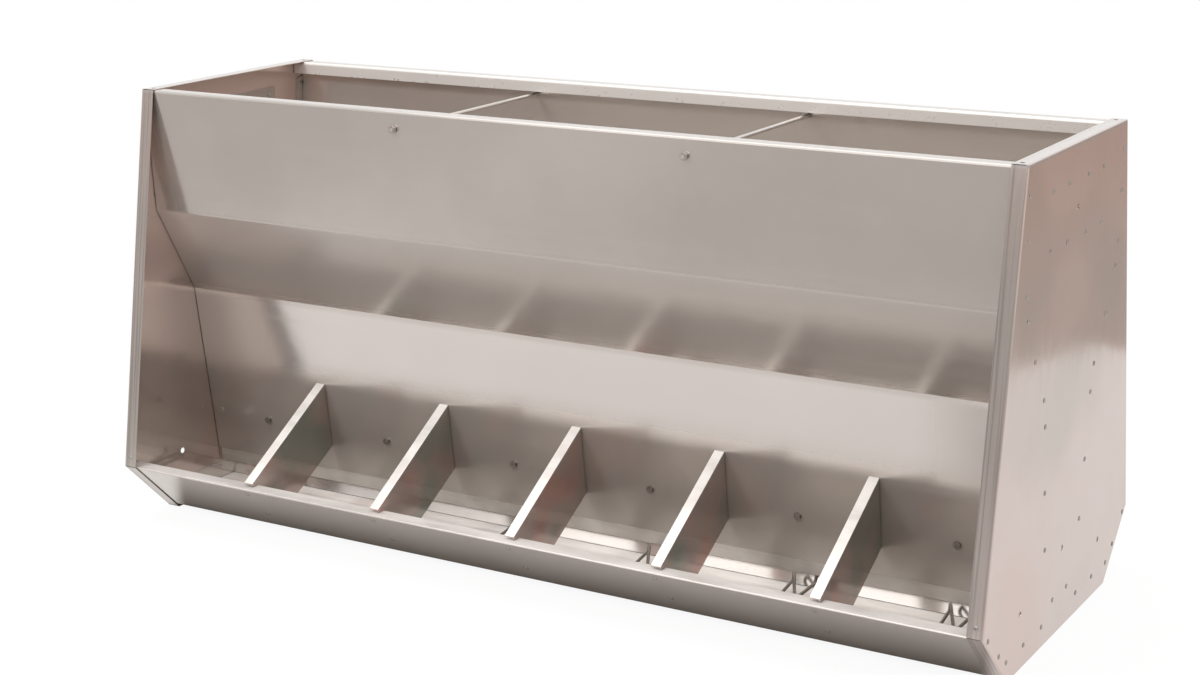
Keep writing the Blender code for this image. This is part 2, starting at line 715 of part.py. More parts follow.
def add_gates(finishes):
    back = gate_mesh()
    front = mirrored_across(back)
    head = [
        (-BOLT_HEAD_THICK, 0.0, BOLT_HEAD_ACROSS, HEXAGON),
        (-BOLT_HEAD_THICK / 2, FIT * 3 + SHEET * 2 + NUT_THICK + BOLT_TAIL, BOLT_SHANK, ROUND_SIDES),
    ]
    bolt = fixing_mesh("gate_bolt", head)
    nut = fixing_mesh("gate_nut", [(0.0, NUT_THICK, NUT_ACROSS, HEXAGON)], BOLT_SHANK + THREAD_FIT * 2)
    _, out_of = lower_panel_directions()
    for word, side in SIDES.items():
        add_object(f"feed_gate_{word}", front if side < 0 else back, finishes["gate"])
        inward = Vector((0, -side * out_of.x, -out_of.y))
        for number in range(1, SPACES + 1):
            x = space_centre(number)
            seats = (("gate_bolt", bolt, -FIT), ("gate_nut", nut, SHEET * 2 + FIT * 2))
            for kind, mesh, depth in seats:
                out, height = lower_panel_point(BOLT_HEIGHT, depth)
                place(f"{kind}_{word}_{number}", mesh, finishes["fixing"], (x, side * out, height), inward)


def add_rods(finishes):
    wall = rod_wall_out()
    end = wall + FIT + ROD_NUT_THICK + ROD_TAIL
    nut = fixing_mesh("rod_nut", [(0.0, ROD_NUT_THICK, ROD_NUT_ACROSS, HEXAGON)], ROD + THREAD_FIT * 2)
    for number, x in enumerate(rod_places(), 1):
        rod = rounded(rod_mesh("cross_rod", (x, -end, ROD_HEIGHT), (x, end, ROD_HEIGHT), ROD))
        add_object(f"cross_rod_{number}", rod, finishes["rod"])
        for word, side in SIDES.items():
            seat = (x, side * (wall + ROD_NUT_SEAT + FIT), ROD_HEIGHT)
            place(f"rod_nut_{word}_{number}", nut, finishes["fixing"], seat, (0, side, 0))


def add_agitators(finishes):
    end = HALF_LENGTH - SHAFT_RECESS
    shaft = rounded(rod_mesh("agitator_shaft", (-end, 0, SHAFT_HEIGHT), (end, 0, SHAFT_HEIGHT), SHAFT))
    add_object("agitator_shaft", shaft, finishes["rod"])
    collar = fixing_mesh("shaft_collar", [(0.0, COLLAR_WIDTH, COLLAR, COLLAR_SIDES)], SHAFT + FIT * 2)
    for word, side in ENDS.items():
        place(f"shaft_collar_{word}", collar, finishes["rod"], (side * TAB_FACE, 0, SHAFT_HEIGHT), (-side, 0, 0))
    wire = agitator_curve("agitator", finishes["wire"])
    for number in range(1, SPACES + 1):
        agitator = bpy.data.objects.new(f"agitator_{number}", wire)
        bpy.context.scene.collection.objects.link(agitator)
        agitator.location = (space_centre(number), 0, SHAFT_HEIGHT)


def main():
    clear_scene()
    finishes = {
        "end": material("stainless_end", (0.50, 0.44, 0.39), 0.38, 1.0),
        "hopper": material("stainless_hopper", (0.48, 0.44, 0.41), 0.36, 1.0),
        "trough": material("stainless_trough", (0.46, 0.42, 0.38), 0.38, 1.0),
        "divider": material("stainless_divider", (0.44, 0.40, 0.36), 0.36, 1.0),
        "gate": material("stainless_gate", (0.42, 0.39, 0.36), 0.40, 1.0),
        "lift": material("stainless_lift_plate", (0.46, 0.40, 0.36), 0.40, 1.0),
        "rod": material("bright_rod", (0.55, 0.50, 0.46), 0.30, 1.0),
        "fixing": material("zinc_fixing", (0.55, 0.52, 0.49), 0.32, 1.0),
        "wire": material("dark_wire", (0.20, 0.17, 0.15), 0.45, 1.0),
    }
    add_fixed_sheets(finishes)
    add_dividers(finishes)
    add_gates(finishes)
    add_rods(finishes)
    add_agitators(finishes)
    bpy.context.view_layer.update()


main()
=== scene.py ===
"""Looks of the wet-dry feeder: stainless sheet, rivets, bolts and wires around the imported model.

Lengths are in metres. X runs along the feeder, Y across it and Z up.
"""

import math
from collections import namedtuple

import bmesh
import bpy
from mathutils import Matrix, Vector


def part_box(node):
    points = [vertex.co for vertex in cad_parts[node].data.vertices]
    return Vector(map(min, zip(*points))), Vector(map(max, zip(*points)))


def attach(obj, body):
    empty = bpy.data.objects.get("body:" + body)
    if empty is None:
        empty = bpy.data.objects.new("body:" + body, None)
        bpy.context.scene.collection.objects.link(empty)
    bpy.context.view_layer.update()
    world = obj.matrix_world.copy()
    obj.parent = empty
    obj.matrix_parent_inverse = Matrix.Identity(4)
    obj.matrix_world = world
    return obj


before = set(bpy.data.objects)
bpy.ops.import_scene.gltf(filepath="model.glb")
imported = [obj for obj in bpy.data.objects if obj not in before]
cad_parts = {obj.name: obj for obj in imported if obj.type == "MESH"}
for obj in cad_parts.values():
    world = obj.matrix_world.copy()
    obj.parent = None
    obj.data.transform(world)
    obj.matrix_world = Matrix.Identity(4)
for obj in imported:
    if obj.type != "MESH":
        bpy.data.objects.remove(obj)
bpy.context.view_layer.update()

# The photograph's viewpoint
CAMERA_PLACE = (1.9945, -3.3677, 1.4617)
CAMERA_TARGET = (-0.085, 0.117, 0.378)
CAMERA_ROLL = math.radians(-0.6)
CAMERA_LENS = 63.3
CAMERA_SENSOR = 36.0

# Sizes of the model
SPACES = 6
SPACE_WIDTH = 0.3048
HALF_LENGTH = SPACES * SPACE_WIDTH / 2
END_FLANGE = 0.029
BASE_HALF = 0.256
SHEET = 0.0015
SHEET_GAP = 0.0003

# Slanting faces seen from the end, each from its low to its high (out, height)
TROUGH_FACE = ((BASE_HALF, 0.0), (0.3755, 0.119))
END_FLANGE_FACE = ((0.3755, 0.119), (0.2535, 0.869))
LOWER_PANEL_FACE = ((0.0905, 0.079), (0.138, 0.440))

# Rivets, as (out, height) pairs on an end panel, the same on both sides of its middle
TAB_RIVETS = (
    (0.2417, 0.8195),
    (0.2385, 0.7457),
    (0.2370, 0.654),
    (0.2260, 0.612),
    (0.1822, 0.534),
    (0.1299, 0.4557),
    (0.1180, 0.4068),
    (0.1046, 0.2865),
    (0.0903, 0.1800),
)
TROUGH_RIVETS = (
    (0.3530, 0.1105),
    (0.2990, 0.0640),
    (0.2620, 0.0395),
    (0.1800, 0.0400),
    (0.0908, 0.0396),
)
LIFT_RIVETS = ((0.130, 0.8060), (0.049, 0.8060), (0.131, 0.7080), (0.049, 0.7073))
MIDDLE_RIVET = (0.0369, 0.0707)

# Rivets along the feeder's seams
DIVIDER_RIVET_HEIGHTS = (0.103, 0.045)
CORNER_RIVET_HEIGHT = 0.137
HEM_RIVET_INSET = 0.027
HEM_RIVET_HEIGHT = 0.1706

# A rivet's outer head, and the tail that shows on the inside
HEAD_WIDTH = 0.0094
HEAD_RISE = 0.0016
TAIL_WIDTH = 0.0062
TAIL_RISE = 0.0030
RIVET_SIDES = 18
SMOOTH_ANGLE = math.radians(40)

# How far from a corner its painted shade reaches, and how deep the sheets' unevenness is
PAINTED_SHADE_REACH = 0.010
WAVE_DEPTH = 0.0003

# Tones of what lies on the sheets or shows in their shine. The dust tone also stands for painted overhead
# light on faces that look up, and the seam tone is painted shade where sheets meet.
DUST_AND_TOP_LIGHT_TONE = (0.90, 0.865, 0.83)
PAINTED_SHADE_TONE = (0.10, 0.085, 0.07)
REDDISH_TONE = (0.60, 0.36, 0.31)
GREENISH_TONE = (0.34, 0.37, 0.32)
FLANGE_TONE = (0.50, 0.47, 0.45)
FLANGE_STREAK_TONE = (0.26, 0.225, 0.205)

# The studio floor: white for the camera, darker under the feeder, where a painted shadow lies in the light
# that it gives and in reflections, grey well in front with a painted pool of light
FLOOR_HALF = 16.0
FLOOR_WHITENESS = 0.92
FLOOR_SEEN_TONE = (0.98, 0.98, 0.98)
FLOOR_CLEAR_TONE = (0.82, 0.81, 0.80)
FLOOR_SHADED_TONE = (0.30, 0.28, 0.26)
FRONT_FLOOR_TONE = (0.56, 0.55, 0.54)
# A painted pool of light on the grey front floor.
PAINTED_LIGHT_POOL_TONE = (0.70, 0.69, 0.68)
SHADE_FADE_ALONG = (HALF_LENGTH - 0.05, HALF_LENGTH)
SHADE_FADE_ACROSS = (BASE_HALF, BASE_HALF + 0.22)

# Plans of the standing cards, as (x, y) points
SIDE_CARD_PLAN = ((1.75, 1.0), (1.58, 1.554), (1.50, 1.74), (1.464, 1.926), (1.373, 1.873), (1.10, 1.72))
FRONT_CARD_PLAN = ((-9.0, -4.6), (-3.0, -5.8), (5.0, -5.8))


def feed(tree, value, socket):
    """Links a socket to another node's output, or sets it to a plain number, vector or colour."""
    if hasattr(value, "is_output"):
        tree.links.new(value, socket)
    elif socket.type == "RGBA":
        socket.default_value = (*value, 1.0)
    else:
        socket.default_value = value


def maths(tree, operation, *values, clamp=False):
    node = tree.nodes.new("ShaderNodeMath")
    node.operation = operation
    node.use_clamp = clamp
    for socket, value in zip(node.inputs, values):
        feed(tree, value, socket)
    return node.outputs[0]


def times(tree, first, second):
    return maths(tree, "MULTIPLY", first, second)


def plus(tree, first, second, clamp=False):
    return maths(tree, "ADD", first, second, clamp=clamp)


def larger(tree, first, second):
    return maths(tree, "MAXIMUM", first, second)


def mapped_range(tree, value, low, high, to_low=0.0, to_high=1.0):
    """A soft step from one value at `low` to the other at `high`, which may lie below `low`."""
    node = tree.nodes.new("ShaderNodeMapRange")
    node.interpolation_type = "SMOOTHSTEP"
    tree.links.new(value, node.inputs["Value"])
    for label, number in (("From Min", low), ("From Max", high), ("To Min", to_low), ("To Max", to_high)):
        node.inputs[label].default_value = number
    return node.outputs["Result"]


def band(tree, value, edges):
    """1 between the two middle edges of four, and 0 beyond the outer ones."""
    rise = mapped_range(tree, value, edges[0], edges[1])
    fall = mapped_range(tree, value, edges[2], edges[3], 1.0, 0.0)
    return times(tree, rise, fall)


def vector_maths(tree, operation, *values):
    node = tree.nodes.new("ShaderNodeVectorMath")
    node.operation = operation
    for socket, value in zip(node.inputs, values):
        feed(tree, value, socket)
    return node


def stretched(tree, vector, stretch):
    return vector_maths(tree, "MULTIPLY", vector, stretch).outputs["Vector"]


def scaled(tree, vector, size):
    node = vector_maths(tree, "SCALE", vector)
    tree.links.new(size, node.inputs["Scale"])
    return node.outputs["Vector"]


def axes(tree, vector):
    """The X, Y and Z outputs of a vector."""
    node = tree.nodes.new("ShaderNodeSeparateXYZ")
    tree.links.new(vector, node.inputs[0])
    return node.outputs


def noise(tree, vector, scale, detail, roughness):
    node = tree.nodes.new("ShaderNodeTexNoise")
    node.inputs["Scale"].default_value = scale
    node.inputs["Detail"].default_value = detail
    node.inputs["Roughness"].default_value = roughness
    tree.links.new(vector, node.inputs["Vector"])
    return node.outputs["Fac"]


def mixed(tree, factor, first, second):
    """The first colour where the factor is 0, and the second where it is 1."""
    node = tree.nodes.new("ShaderNodeMix")
    node.data_type = "RGBA"
    for socket, value in ((node.inputs[0], factor), (node.inputs[6], first), (node.inputs[7], second)):
        feed(tree, value, socket)
    return node.outputs[2]


def group_tree(name, inputs, outputs):
    """An empty shader node group with named float, colour and vector sockets."""
    tree = bpy.data.node_groups.new(name, "ShaderNodeTree")
    for label, kind, default in inputs:
        socket = tree.interface.new_socket(label, in_out="INPUT", socket_type=kind)
        socket.default_value = default
    for label, kind in outputs:
        tree.interface.new_socket(label, in_out="OUTPUT", socket_type=kind)
    ends = tree.nodes.new("NodeGroupInput"), tree.nodes.new("NodeGroupOutput")
    return tree, *ends


def group_node(tree, group, **values):
    """The outputs of a node group that is used in a material's tree."""
    node = tree.nodes.new("ShaderNodeGroup")
    node.node_tree = group
    for label, value in values.items():
        feed(tree, value, node.inputs[label])
    return node.outputs


def mill_grain_group():
    """Fine rolled grain of stainless sheet: short parallel streaks with a few longer, brighter ones."""
    tree, start, end = group_tree(
        "mill_grain",
        [("Vector", "NodeSocketVector", (0, 0, 0)), ("Stretch", "NodeSocketVector", (4, 400, 400))],
        [("Grain", "NodeSocketFloat"), ("Streaks", "NodeSocketFloat")],
    )
    drawn = stretched(tree, start.outputs["Vector"], start.outputs["Stretch"])
    fine = noise(tree, drawn, 1.0, 3.0, 0.6)
    coarse = noise(tree, stretched(tree, drawn, (0.35, 0.12, 0.12)), 1.0, 2.0, 0.5)
    tree.links.new(fine, end.inputs["Grain"])
    tree.links.new(mapped_range(tree, coarse, 0.45, 0.75), end.inputs["Streaks"])
    return tree


def cloud_group():
    """Slow blotches of tone, with a finer mottle inside them, as handling and cleaning leave on sheet."""
    tree, start, end = group_tree(
        "sheet_clouds",
        [("Vector", "NodeSocketVector", (0, 0, 0)), ("Size", "NodeSocketFloat", 5.0)],
        [("Clouds", "NodeSocketFloat"), ("Mottle", "NodeSocketFloat")],
    )
    spot = scaled(tree, start.outputs["Vector"], start.outputs["Size"])
    broad = noise(tree, spot, 1.0, 3.0, 0.5)
    small = noise(tree, spot, 9.0, 4.0, 0.6)
    tree.links.new(mapped_range(tree, broad, 0.3, 0.7), end.inputs["Clouds"])
    tree.links.new(small, end.inputs["Mottle"])
    return tree


def dust_and_top_light_group():
    """Where a face looks up: settled dust together with painted overhead light, which makes such faces
    paler, broken up by soft noise.
    """
    tree, start, end = group_tree(
        "dust_and_painted_top_light",
        [("Vector", "NodeSocketVector", (0, 0, 0)), ("Normal", "NodeSocketVector", (0, 0, 1))],
        [("Dust_and_light", "NodeSocketFloat")],
    )
    facing_up = mapped_range(tree, axes(tree, start.outputs["Normal"])["Z"], 0.35, 0.85)
    patch = noise(tree, stretched(tree, start.outputs["Vector"], (7.0, 26.0, 26.0)), 1.0, 4.0, 0.6)
    cover = mapped_range(tree, patch, 0.28, 0.62, 0.72, 1.0)
    tree.links.new(times(tree, facing_up, cover), end.inputs["Dust_and_light"])
    return tree


def temper_group():
    """Broad soft hues in the shine of thin sheet: reddish in some places, greenish in others."""
    tree, start, end = group_tree(
        "temper_hues",
        [("Vector", "NodeSocketVector", (0, 0, 0)), ("Size", "NodeSocketFloat", 5.0)],
        [("Reddish", "NodeSocketFloat"), ("Greenish", "NodeSocketFloat")],
    )
    hue = noise(tree, scaled(tree, start.outputs["Vector"], start.outputs["Size"]), 1.0, 1.5, 0.4)
    tree.links.new(mapped_range(tree, hue, 0.52, 0.68), end.inputs["Reddish"])
    tree.links.new(mapped_range(tree, hue, 0.48, 0.34), end.inputs["Greenish"])
    return tree


def painted_seam_shade_group():
    """Painted shade where sheets meet, darker the more shut in a spot is within a finger's breadth."""
    tree, _start, end = group_tree("painted_seam_shade", [], [("Shade", "NodeSocketFloat")])
    shut_in = tree.nodes.new("ShaderNodeAmbientOcclusion")
    shut_in.samples = 6
    shut_in.inputs["Distance"].default_value = PAINTED_SHADE_REACH
    tree.links.new(mapped_range(tree, shut_in.outputs["AO"], 0.62, 0.30), end.inputs["Shade"])
    return tree


GRAIN = mill_grain_group()
CLOUDS = cloud_group()
DUST_AND_TOP_LIGHT_MASK = dust_and_top_light_group()
TEMPER = temper_group()
PAINTED_SEAM_SHADE = painted_seam_shade_group()

# A tone band lays a tone over a band of heights, and where it has a reach it grows along X from none to
# full. Several of them are painted shade or painted light.
# A lining dusts the faces that look inwards; on its topmost edge it lays painted light in the dust tone, as
# much as rim_cover gives.
ToneBand = namedtuple("ToneBand", "heights reach amount tone")
Lining = namedtuple("Lining", "inwards heights tone rim_cover")
RIM_HEIGHTS = (0.838, 0.842, 2.0, 3.0)


def new_material(name):
    """A new material, its node tree and its Principled shader."""
    made = bpy.data.materials.new(name)
    made.use_nodes = True
    return made, made.node_tree, made.node_tree.nodes["Principled BSDF"]


def tone_band_layers(tree, tone, dark, tone_bands, along, height):
    """Lays the tone bands over a tone. Also gives how much those darker than the metal cover, which dulls
    the metal there.
    """
    darker_cover = None
    for tone_band in tone_bands:
        cover = times(tree, band(tree, height, tone_band.heights), tone_band.amount)
        if tone_band.reach:
            cover = times(tree, cover, mapped_range(tree, along, *tone_band.reach))
        tone = mixed(tree, cover, tone, tone_band.tone)
        if tone_band.tone[0] < dark[0]:
            darker_cover = larger(tree, darker_cover, cover) if darker_cover else cover
    return tone, darker_cover


def streaked_flanges(tree, tone, spot, along, amount):
    """Greyer flanges with long upright streaks. All but an end panel's outer face counts as flange."""
    flange = mapped_range(tree, along, HALF_LENGTH - 0.0030, HALF_LENGTH - 0.0020, amount, 0.0)
    streak = noise(tree, stretched(tree, spot, (260.0, 0.0, 2.2)), 1.0, 2.0, 0.5)
    streak = times(tree, mapped_range(tree, streak, 0.45, 0.62), flange)
    tone = mixed(tree, flange, tone, FLANGE_TONE)
    return mixed(tree, streak, tone, FLANGE_STREAK_TONE)


def metal(
    name, dark, light, stretch, roughness=0.15, metallic=0.76, dust_and_top_light_share=0.2, cloud_size=4.0,
    temper=0.0, tone_bands=(), flange_streaks=0.0, lining=None,
):
    """Rolled metal: tone, roughness and relief follow the grain and the clouds. Dust with painted overhead
    light lies on faces that look up, bands of painted shade and light by height, and painted shade in
    seams.
    """
    made, tree, shader = new_material(name)
    places = tree.nodes.new("ShaderNodeTexCoord").outputs
    spot = places["Object"]
    parts = axes(tree, spot)
    along = maths(tree, "ABSOLUTE", parts["X"])
    height = parts["Z"]
    grain = group_node(tree, GRAIN, Vector=spot, Stretch=stretch)
    clouds = group_node(tree, CLOUDS, Vector=spot, Size=cloud_size)
    dust_and_light = group_node(tree, DUST_AND_TOP_LIGHT_MASK, Vector=spot, Normal=places["Normal"])
    hues = group_node(tree, TEMPER, Vector=spot, Size=cloud_size)

    share = times(tree, clouds["Clouds"], 0.6)
    share = plus(tree, share, times(tree, grain["Grain"], 0.4))
    share = plus(tree, share, times(tree, clouds["Mottle"], 0.2), clamp=True)
    tone = mixed(tree, share, dark, light)
    tone = mixed(tree, times(tree, hues["Reddish"], temper), tone, REDDISH_TONE)
    tone = mixed(tree, times(tree, hues["Greenish"], temper), tone, GREENISH_TONE)
    tone, darker_cover = tone_band_layers(tree, tone, dark, tone_bands, along, height)
    if flange_streaks:
        tone = streaked_flanges(tree, tone, spot, along, flange_streaks)

    # Dust together with painted overhead light: faces that look up take the pale dust tone.
    dust_and_top_light = times(tree, dust_and_light["Dust_and_light"], dust_and_top_light_share)
    if lining:
        outward = stretched(tree, spot, lining.inwards)
        facing = vector_maths(tree, "DOT_PRODUCT", outward, places["Normal"]).outputs["Value"]
        inside = mapped_range(tree, facing, -0.02, -0.08)
        feed_dust = times(tree, inside, band(tree, height, lining.heights))
        tone = mixed(tree, times(tree, feed_dust, 0.4), tone, lining.tone)
        # Painted highlight on the inner face of the top edge's return.
        rim = times(tree, inside, band(tree, height, RIM_HEIGHTS))
        dust_and_top_light = larger(tree, dust_and_top_light, times(tree, rim, lining.rim_cover))
        dust_and_top_light = larger(tree, dust_and_top_light, times(tree, feed_dust, 0.12))
    tone = mixed(tree, dust_and_top_light, tone, DUST_AND_TOP_LIGHT_TONE)
    # Painted shade in corners and seams, from ambient occlusion.
    painted_shade = times(tree, group_node(tree, PAINTED_SEAM_SHADE)["Shade"], 0.8)
    tree.links.new(mixed(tree, painted_shade, tone, PAINTED_SHADE_TONE), shader.inputs["Base Color"])

    # Dust and painted overhead light also take shine away and add roughness.
    sheen = maths(tree, "MULTIPLY_ADD", dust_and_top_light, -0.6 * metallic, metallic)
    rough = times(tree, grain["Streaks"], 0.04)
    rough = plus(tree, rough, times(tree, clouds["Mottle"], 0.06))
    rough = plus(tree, rough, times(tree, dust_and_top_light, 0.2))
    # Under the darker bands, most of them painted shade, the metal shines less and is rougher.
    if darker_cover:
        sheen = maths(tree, "SUBTRACT", sheen, times(tree, darker_cover, 0.3))
        rough = plus(tree, rough, times(tree, darker_cover, 0.05))
    tree.links.new(sheen, shader.inputs["Metallic"])
    tree.links.new(plus(tree, rough, roughness - 0.04), shader.inputs["Roughness"])

    relief = plus(tree, times(tree, clouds["Mottle"], 0.01), clouds["Clouds"])
    bump = tree.nodes.new("ShaderNodeBump")
    bump.inputs["Distance"].default_value = WAVE_DEPTH
    bump.inputs["Strength"].default_value = 1.0
    tree.links.new(relief, bump.inputs["Height"])
    tree.links.new(bump.outputs["Normal"], shader.inputs["Normal"])
    return made


# Which way the rolled grain runs
ALONG_X = (6.0, 520.0, 520.0)
ALONG_Z = (520.0, 520.0, 6.0)

# Painted shade on the hopper's downward slope.
UNDERSIDE_SHADE = ToneBand((0.43, 0.50, 0.615, 0.630), None, 0.72, (0.36, 0.32, 0.29))
# Painted shade, darker towards the bottom of the lower panel.
LOWER_PANEL_SHADE = ToneBand((-1.0, -0.5, 0.14, 0.34), None, 0.62, (0.25, 0.222, 0.195))
# Painted highlight: a paler band across the lower panel's upper part, fading out towards the ends.
PAINTED_HIGHLIGHT_BAND = ToneBand((0.26, 0.32, 0.425, 0.437), (0.88, 0.64), 0.5, (0.68, 0.63, 0.60))
# Painted shade on the lower panel near its ends.
CORNER_SHADE = ToneBand((0.16, 0.26, 0.425, 0.437), (0.68, 0.90), 0.7, (0.36, 0.32, 0.29))
TOP_FILM = ToneBand((0.860, 0.866, 2.0, 3.0), None, 0.68, (0.36, 0.335, 0.315))
WARM_TOP = ToneBand((0.62, 0.80, 2.0, 3.0), None, 0.3, (0.68, 0.46, 0.40))
END_LINING = Lining((1.0, 0.0, 0.0), (0.44, 0.50, 2.0, 3.0), (0.78, 0.52, 0.44), 0.0)
HOPPER_LINING = Lining((0.0, 1.0, 0.0), (0.44, 0.50, 0.838, 0.842), (0.66, 0.60, 0.55), 0.7)

FINISHES = {
    "end": metal(
        "stainless_end", (0.56, 0.43, 0.385), (0.60, 0.52, 0.48), ALONG_Z, roughness=0.12, cloud_size=3.0,
        temper=0.3, tone_bands=(WARM_TOP, TOP_FILM), flange_streaks=0.45, lining=END_LINING,
    ),
    "hopper": metal(
        "stainless_hopper", (0.53, 0.475, 0.435), (0.585, 0.53, 0.49), ALONG_X,
        tone_bands=(UNDERSIDE_SHADE, PAINTED_HIGHLIGHT_BAND, CORNER_SHADE, LOWER_PANEL_SHADE, TOP_FILM), lining=HOPPER_LINING,
    ),
    "trough": metal(
        "stainless_trough", (0.55, 0.50, 0.46), (0.61, 0.56, 0.52), ALONG_X, dust_and_top_light_share=1.0, cloud_size=6.0,
    ),
    "divider": metal(
        "stainless_divider", (0.47, 0.375, 0.34), (0.51, 0.43, 0.395), ALONG_Z, dust_and_top_light_share=1.0, cloud_size=9.0,
        temper=0.8,
    ),
    "gate": metal(
        "stainless_gate", (0.30, 0.27, 0.245), (0.60, 0.56, 0.52), ALONG_X, roughness=0.30, metallic=0.6,
        cloud_size=9.0,
    ),
    "lift": metal(
        "stainless_lift_plate", (0.48, 0.40, 0.36), (0.53, 0.46, 0.42), ALONG_Z, cloud_size=9.0,
    ),
    "rod": metal(
        "bright_rod", (0.58, 0.53, 0.49), (0.66, 0.61, 0.57), ALONG_X, metallic=0.8, cloud_size=20.0,
    ),
    "fixing": metal(
        "zinc_fixing", (0.46, 0.41, 0.37), (0.58, 0.53, 0.49), ALONG_Z, roughness=0.25, metallic=0.9,
        dust_and_top_light_share=0.0, cloud_size=60.0,
    ),
    "rivet": metal(
        "dull_rivet", (0.27, 0.24, 0.22), (0.42, 0.385, 0.355), ALONG_Z, roughness=0.22, metallic=0.85,
        dust_and_top_light_share=0.0, cloud_size=60.0,
    ),
    "bolt": metal(
        "dark_bolt", (0.21, 0.19, 0.175), (0.34, 0.31, 0.285), ALONG_Z, roughness=0.26, metallic=0.9,
        dust_and_top_light_share=0.0, cloud_size=60.0,
    ),
    "wire": metal(
        "dark_wire", (0.12, 0.10, 0.085), (0.20, 0.17, 0.15), ALONG_X, roughness=0.34, metallic=0.7,
        cloud_size=40.0,
    ),
}

# The finish of each CAD node, by the start of its name. The longest start that fits counts.
NODE_FINISHES = {
    "end_panel": "end",
    "lift_plate": "lift",
    "hopper_panel": "hopper",
    "trough_pan": "trough",
    "feed_splitter": "trough",
    "divider": "divider",
    "feed_gate": "gate",
    "cross_rod": "rod",
    "agitator_shaft": "rod",
    "shaft_collar": "rod",
    "gate_bolt": "bolt",
    "gate_nut": "fixing",
    "rod_nut": "fixing",
    "agitator": "wire",
}

# How wide the softened edges are. Rods, wires and lift plates keep the edges of their solids.
EDGE_SOFTENING = {
    "end": 0.0003,
    "hopper": 0.0003,
    "trough": 0.0003,
    "divider": 0.0003,
    "gate": 0.0003,
    "fixing": 0.0005,
    "bolt": 0.0005,
}


def dress_nodes():
    """Gives every CAD node its finish, and softens the sheared edges of those whose finish has a width in
    EDGE_SOFTENING.
    """
    for name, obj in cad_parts.items():
        kind = max((key for key in NODE_FINISHES if name.startswith(key)), key=len)
        finish = NODE_FINISHES[kind]
        obj.data.materials.clear()
        obj.data.materials.append(FINISHES[finish])
        if finish in EDGE_SOFTENING:
            bevel = obj.modifiers.new("softened_edges", "BEVEL")
            bevel.width = EDGE_SOFTENING[finish]
            bevel.segments = 2
            bevel.limit_method = "ANGLE"
            bevel.angle_limit = SMOOTH_ANGLE


def link(obj):
    bpy.context.scene.collection.objects.link(obj)


def mesh_of(name, bm):
    """A mesh from a bmesh, which is freed."""
    mesh = bpy.data.meshes.new(name)
    bm.to_mesh(mesh)
    bm.free()
    return mesh


def turned(profile):
    """A turned solid from (radius, height) pairs that start and end on the axis, as a bmesh."""
    bm = bmesh.new()
    rings = []
    for radius, height in profile:
        if radius == 0:
            rings.append([bm.verts.new((0, 0, height))])
            continue
        ring = []
        for step in range(RIVET_SIDES):
            angle = 2 * math.pi * step / RIVET_SIDES
            ring.append(bm.verts.new((radius * math.cos(angle), radius * math.sin(angle), height)))
        rings.append(ring)
    for low, high in zip(rings, rings[1:]):
        for i in range(RIVET_SIDES):
            j = (i + 1) % RIVET_SIDES
            corners = [low[i % len(low)], low[j % len(low)], high[j % len(high)], high[i % len(high)]]
            face = []
            for corner in corners:
                if corner not in face:
                    face.append(corner)
            bm.faces.new(face)
    bmesh.ops.recalc_face_normals(bm, faces=bm.faces)
    return bm


def rivet_mesh(width, rise):
    """A blind rivet's head: a low dome with the small recess that its stem leaves."""
    radius = width / 2
    profile = [
        (0.0, 0.0),
        (radius * 0.98, 0.0),
        (radius, rise * 0.18),
        (radius * 0.93, rise * 0.45),
        (radius * 0.78, rise * 0.72),
        (radius * 0.58, rise * 0.92),
        (radius * 0.36, rise),
        (radius * 0.28, rise * 0.96),
        (radius * 0.22, rise * 0.62),
        (0.0, rise * 0.56),
    ]
    return mesh_of("rivet", turned(profile))


HEAD_MESH = rivet_mesh(HEAD_WIDTH, HEAD_RISE)
TAIL_MESH = rivet_mesh(TAIL_WIDTH, TAIL_RISE)


def add_rivets(name, places, shape):
    """One piece that holds a row of rivets, each at (spot, direction)."""
    bm = bmesh.new()
    for spot, direction in places:
        before = len(bm.verts)
        bm.from_mesh(shape)
        bm.verts.ensure_lookup_table()
        fresh = bm.verts[before:]
        turn = Vector(direction).to_track_quat("Z", "Y").to_matrix().to_4x4()
        bmesh.ops.transform(bm, matrix=Matrix.Translation(spot) @ turn, verts=fresh)
    mesh = mesh_of(name, bm)
    obj = bpy.data.objects.new(name, mesh)
    link(obj)
    mesh.materials.clear()
    mesh.materials.append(FINISHES["rivet"])
    mesh.shade_smooth()
    mesh.set_sharp_from_angle(angle=SMOOTH_ANGLE)
    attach(obj, "feeder")


def both_sides(pairs):
    return [(side * out, height) for out, height in pairs for side in (-1, 1)]


def add_end_rivets():
    """Heads on the end panels, and tails inside, which come through the tabs or the lift plates."""
    rows = both_sides([*TAB_RIVETS, *TROUGH_RIVETS, *LIFT_RIVETS, MIDDLE_RIVET])
    lift = both_sides(LIFT_RIVETS)
    lift_plate_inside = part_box("lift_plate_right")[0][0]
    tab_inside = HALF_LENGTH - SHEET - SHEET_GAP - SHEET
    for word, end in (("left", -1), ("right", 1)):
        heads = [((end * HALF_LENGTH, *spot), (end, 0, 0)) for spot in rows]
        add_rivets(f"end_rivets_{word}", heads, HEAD_MESH)
        tails = []
        for spot in rows:
            depth = lift_plate_inside if spot in lift else tab_inside
            tails.append(((end * depth, *spot), (-end, 0, 0)))
        add_rivets(f"end_rivet_tails_{word}", tails, TAIL_MESH)


def on_face(face, x, side, height, sink=0.0):
    """A rivet's (spot, direction) at a height on a slanting face, or sunk below it."""
    low, high = face
    share = (height - low[1]) / (high[1] - low[1])
    out = low[0] + (high[0] - low[0]) * share
    run = Vector(high) - Vector(low)
    outward = Vector((run.y, -run.x)).normalized()
    spot = Vector((out, height)) - outward * sink
    return (x, side * spot.x, spot.y), (0, side * outward.x, outward.y)


